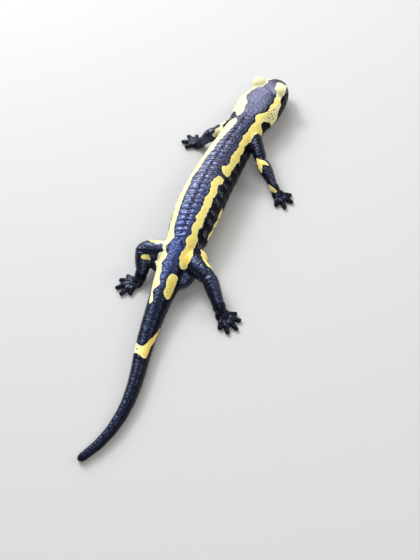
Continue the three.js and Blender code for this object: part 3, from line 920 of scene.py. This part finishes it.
def back_relief(w):
    """Ridges across the back with a pit between them at its middle, and beads in rows along them. Gives
    their height in millimetres, and their painted light and shade: painted highlight on the crests, painted
    shade in the pits."""
    along, across = w.attribute("along"), w.attribute("across")
    wobble = w.span(w.noise(420), 0.3, 0.7, -0.35, 0.35)
    slanted = w.math("ADD", w.math("MULTIPLY_ADD", across, RIDGE_SLANT, along), wobble)
    crest = w.wave(w.math("SUBTRACT", slanted, RIDGE_START), RIDGE_SPACING, 3.0)
    from_pits = w.math("SUBTRACT", across, PIT_LINE)
    beside = w.hill(w.math("SUBTRACT", w.math("ABSOLUTE", from_pits), 1.15), 0.45)
    pit = w.math("MULTIPLY", w.math("SUBTRACT", 1.0, crest), w.hill(from_pits, 0.65))
    apart = w.math("MULTIPLY", across, w.blend_value(w.attribute("rear"), 0.85, 0.42))
    bead = w.beads(2 / RIDGE_SPACING, 0.75, w.rows(slanted, apart))
    broken = w.span(w.noise(620), 0.35, 0.65, 0.35, 1.0)
    crested = w.math("MULTIPLY_ADD", beside, 0.6, w.math("MULTIPLY", broken, 0.8))
    ridge = w.math("MULTIPLY", crest, crested)
    height = w.math("MULTIPLY_ADD", ridge, 0.17, w.math("MULTIPLY", bead, 0.10))
    height = w.math("MULTIPLY_ADD", pit, -0.20, height)
    # Painted light: the crests and beads are lit, the pits shaded.
    relief_light = w.math("MULTIPLY_ADD", ridge, 0.7, w.span(bead, 0.2, 1.0, 0.1, 0.5))
    relief_light = w.math("MULTIPLY_ADD", pit, -0.8, relief_light)
    return height, relief_light


def flank_relief(w):
    """A knot of glands on each swelling of the flank, highest round its rim."""
    shift = w.span(w.noise(900, 1.0), 0.3, 0.7, -0.45, 0.45)
    along = w.math("ADD", w.math("SUBTRACT", w.attribute("along"), RIB_START), shift)
    along = w.math("WRAP", along, RIB_SPACING / 2, -RIB_SPACING / 2)
    beyond = w.math("SUBTRACT", w.math("ABSOLUTE", w.attribute("across")), KNOT_OVER)
    beyond = w.math("MULTIPLY", w.math("ADD", beyond, shift), KNOT_SHAPE)
    away = w.math("SQRT", w.math("MULTIPLY_ADD", along, along, w.math("MULTIPLY", beyond, beyond)))
    rim = w.hill(w.math("SUBTRACT", away, 0.66), 0.24)
    return w.math("MULTIPLY_ADD", rim, 0.24, w.math("MULTIPLY", w.hill(away, 0.25), 0.08))


def open_pores(w):
    """Round pores scattered over the gland pads, 1 inside each."""
    cells = w.add("ShaderNodeTexVoronoi", voronoi_dimensions="2D")
    spot = w.rows(w.attribute("along"), w.attribute("across"))
    w.fill(cells, {"Scale": 0.92, "Randomness": 0.8, "Vector": spot})
    picked = w.add("ShaderNodeSeparateColor", {"Color": cells.outputs["Color"]})
    chosen = w.math("LESS_THAN", picked.outputs["Red"], w.attribute("gland"))
    away = w.math("MULTIPLY_ADD", picked.outputs["Green"], -0.12, cells.outputs["Distance"])
    return w.math("MULTIPLY", w.span(away, 0.12, 0.21, 1.0, 0.0), chosen)


def skin_relief(w, patch, fine, knots, pore):
    """The height of the skin's finer relief in millimetres, and the painted highlight and shade of its
    crests and pits.
    """
    ridged, bead = w.attribute("ridged"), w.beads(1000, 1.0)
    back_height, relief_light = back_relief(w)
    # Painted light: off the ridges each bead is lit at its top and shaded at its edge.
    relief_light = w.blend_value(ridged, w.span(bead, 0.1, 0.9, 0.15, 0.75), relief_light)
    height = w.math("MULTIPLY", w.math("MULTIPLY", bead, 0.11), w.attribute("grain"))
    height = w.blend_value(ridged, height, back_height)
    coarseness = w.math("MULTIPLY_ADD", w.attribute("crown"), 0.12, 0.12)
    height = w.math("ADD", w.math("MULTIPLY_ADD", fine, coarseness, height), knots)
    height = w.math("MULTIPLY", height, w.span(patch, 0, 1, 1.0, 0.35))
    height = w.math("MULTIPLY_ADD", pore, -0.15, height)
    ring = w.math("MULTIPLY", w.wave(w.attribute("ring_at"), 1.0, 5.0), w.attribute("ringed"))
    return w.math("MULTIPLY_ADD", ring, -0.08, height), relief_light


def dark_colour(w, relief_light, sheen_share, fine, knots):
    """Black, with painted blue sheen on the back and painted violet sheen on the crown as far as its share
    lets it, from 0 to 1, lighter on the crests and darker in the pits as painted highlight and shade, grey
    on the belly, and a painted grey highlight on the rims of the flank's glands."""
    # Painted sheen: the blue on the back and the violet on the crown stand in for sky reflected on wet
    # skin; the blue is lighter on the crests as painted highlight and darker in the pits as painted shade.
    cloud = w.span(w.noise(200), 0.35, 0.62, 0.45, 1.0)
    blue_sheen = w.blend(w.attribute("rear"), BLUE_SHEEN_FRONT, BLUE_SHEEN_REAR)
    blue_sheen = w.blend(w.math("MULTIPLY", relief_light, cloud), TROUGH_SHADE_BLUE, blue_sheen)
    dark = w.blend(w.math("MULTIPLY", w.attribute("back"), sheen_share), BLACK, blue_sheen)
    violet_sheen = w.math("MULTIPLY", w.attribute("crown"), w.span(w.noise(520, 3.0), 0.35, 0.60, 0.45, 1.0))
    dark = w.blend(w.math("MULTIPLY", violet_sheen, sheen_share), dark, CROWN_SHEEN_VIOLET)
    dark = w.blend(w.attribute("belly"), dark, BELLY_GREY)
    # Painted highlight: the rims of the flank's glands are lit grey, broken up by noise.
    knot_highlight = w.math("MULTIPLY", w.span(knots, 0.10, 0.22), w.span(fine, 0.44, 0.54))
    return w.blend(knot_highlight, dark, KNOT_HIGHLIGHT_GREY)


def patch_colour(w, pore):
    """Yellow, with paler painted light and orange in places, and brown pores."""
    light = w.blend(w.attribute("lit_pale"), YELLOW, LIT_CREAM)
    light = w.blend(w.math("MULTIPLY", w.attribute("warmth"), 0.8), light, ORANGE)
    return w.blend(pore, light, PORE_BROWN)


def skin_material():
    """Moist black skin with yellow patches: the patches' edges come from the marking attribute."""
    w = Wiring("skin")
    ragged = w.span(w.noise(2600), 0, 1, -0.10, 0.10)
    depth = w.math("ADD", w.attribute("marking"), ragged)
    patch = w.span(depth, -0.06, 0.06)
    # Next to a patch the painted blue and violet sheen fades and the shine drops, so the skin is plain
    # black there, less so where the patches are painted paler.
    lit_pale = w.math("MULTIPLY", w.attribute("lit_pale"), 0.8)
    sheen_share = w.math("MAXIMUM", w.span(depth, -0.7, -0.2, 1.0, 0.0), lit_pale)
    fine, pore = w.noise(1700), open_pores(w)
    knots = w.math("MULTIPLY", flank_relief(w), w.attribute("knotted"))
    height, relief_light = skin_relief(w, patch, fine, knots, pore)
    dark = dark_colour(w, relief_light, sheen_share, fine, knots)
    sheen = w.blend(w.attribute("rear"), FRONT_SHEEN, REAR_SHEEN)
    shine = w.math("MULTIPLY_ADD", knots, 3.0, w.math("MULTIPLY", w.attribute("gloss"), 0.95))
    shine = w.math("MULTIPLY", shine, w.span(sheen_share, 0, 1, 0.45, 1.0))
    rough = w.span(w.noise(900), 0.3, 0.7, 0.18, 0.30)
    coarse = w.bump(height, 1.0, MM)
    w.fill(w.shader, {
        "Base Color": w.blend(patch, dark, patch_colour(w, pore)),
        "Specular Tint": w.blend(patch, sheen, WHITE),
        "Specular IOR Level": w.blend_value(patch, shine, 0.3),
        "Roughness": w.math("MULTIPLY_ADD", patch, 0.14, rough),
        "Normal": w.bump(w.noise(4200), 0.2, 0.08 * MM, Normal=coarse),
        "IOR": 1.55,
    })
    return w.material


def eye_material():
    """A near-black eye with a faint brown iris round its pupil, under a wet surface."""
    w = Wiring("eye")
    iris = w.blend(w.span(w.noise(1800, 3.0), 0.35, 0.65), (0.010, 0.007, 0.006), (0.035, 0.020, 0.012))
    w.fill(w.shader, {
        "Base Color": w.blend(w.attribute("pupil"), iris, (0.002, 0.002, 0.003)),
        "Roughness": w.span(w.noise(700, 1.0), 0.3, 0.7, 0.05, 0.09),
        "IOR": 1.45,
        "Coat Weight": 0.6,
        "Coat Roughness": 0.04,
    })
    return w.material


# ---------------- pieces

def make_skin():
    skin = join_flesh()
    apply_modifier(skin, "REMESH", mode="VOXEL", voxel_size=VOXEL * MM, adaptivity=0.0)
    keep_outside(skin)
    even_out(skin)
    refine_head(skin)
    owner = add_relief(skin)
    blend_brows(skin)
    marks = SkinMarks(skin, owner)
    marks.mark_patches()
    marks.mark_finish()
    marks.mark_relief()
    skin.data.materials.append(skin_material())
    only(skin)
    bpy.ops.object.shade_smooth()
    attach(skin, "root")
    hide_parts(*FLESH)
    return skin


def make_eye(side, name):
    """An eyeball with a clear bulge at its front, turned the way it looks."""
    centre, looking, across, upward = eye_axes(side)
    bpy.ops.object.select_all(action="DESELECT")
    bpy.ops.mesh.primitive_uv_sphere_add(segments=40, ring_count=24, radius=EYE_RADIUS * MM)
    eye = bpy.context.object
    eye.name = f"{name}ball"
    spots = read_points(eye)
    front = spots[:, 2] / EYE_RADIUS
    spots *= (1 + 0.045 * rise(front, 0.72, 1.0) - 0.04 * rise(-front, 0.2, 1.0))[:, None]
    write_attribute(eye, "pupil", 1 - rise(np.degrees(np.arccos(np.clip(front, -1, 1))), 20, 24))
    turned = centre + spots[:, :1] * across + spots[:, 1:2] * upward + spots[:, 2:] * looking
    write_points(eye, turned)
    eye.data.materials.append(eye_material())
    only(eye)
    bpy.ops.object.shade_smooth()
    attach(eye, "root")
    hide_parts(name)


# ---------------- stage, light and camera

CAMERA_AT = Vector((-115.222, 167.36, 243.025)) * MM
CAMERA_ACROSS = Vector((-0.89909, -0.41395, -0.14240))
CAMERA_UP = Vector((0.27586, -0.78834, 0.54992))
CAMERA_LENS = 51.43


def set_camera():
    data = bpy.data.cameras.new("camera")
    data.lens = CAMERA_LENS
    data.clip_start = 0.01
    camera = bpy.data.objects.new("camera", data)
    bpy.context.scene.collection.objects.link(camera)
    back = CAMERA_ACROSS.cross(CAMERA_UP)
    camera.matrix_world = Matrix.Translation(CAMERA_AT) @ Matrix(
        (CAMERA_ACROSS, CAMERA_UP, back)).transposed().to_4x4()
    bpy.context.scene.camera = camera


def plain_floor():
    bpy.ops.object.select_all(action="DESELECT")
    bpy.ops.mesh.primitive_plane_add(size=4.0, location=(0, 0, 0))
    floor = bpy.context.object
    floor.name = "studio_floor"
    w = Wiring("pale_floor")
    w.fill(w.shader, {"Base Color": (0.64, 0.635, 0.62), "Roughness": 0.85})
    floor.data.materials.append(w.material)


def soft_light(name, spot, size, power, colour):
    data = bpy.data.lights.new(name, "AREA")
    data.shape = "RECTANGLE"
    data.size, data.size_y = size
    data.energy = power
    data.color = colour
    light = bpy.data.objects.new(name, data)
    bpy.context.scene.collection.objects.link(light)
    light.location = spot
    light.rotation_euler = (-Vector(spot)).to_track_quat("-Z", "Y").to_euler()


def light_studio():
    soft_light("sky", (0.42, -0.38, 0.62), (0.9, 0.9), 8.0, (0.90, 0.93, 1.0))
    soft_light("window", (0.46, -0.34, 0.56), (0.20, 0.20), 2.6, (1.0, 0.98, 0.95))
    soft_light("side", (-0.64, -0.53, 0.56), (0.36, 0.36), 2.0, (1.0, 1.0, 1.0))
    soft_light("fill", (-0.45, 0.35, 0.75), (0.6, 0.6), 2.6, (1.0, 0.97, 0.92))
    world = bpy.data.worlds.new("studio")
    world.use_nodes = True
    world.node_tree.nodes["Background"].inputs["Color"].default_value = (0.86, 0.90, 0.97, 1)
    world.node_tree.nodes["Background"].inputs["Strength"].default_value = 0.14
    bpy.context.scene.world = world
    bpy.context.scene.view_settings.view_transform = "Standard"


make_skin()
make_eye(1, "left_eye")
make_eye(-1, "right_eye")
plain_floor()
light_studio()
set_camera()
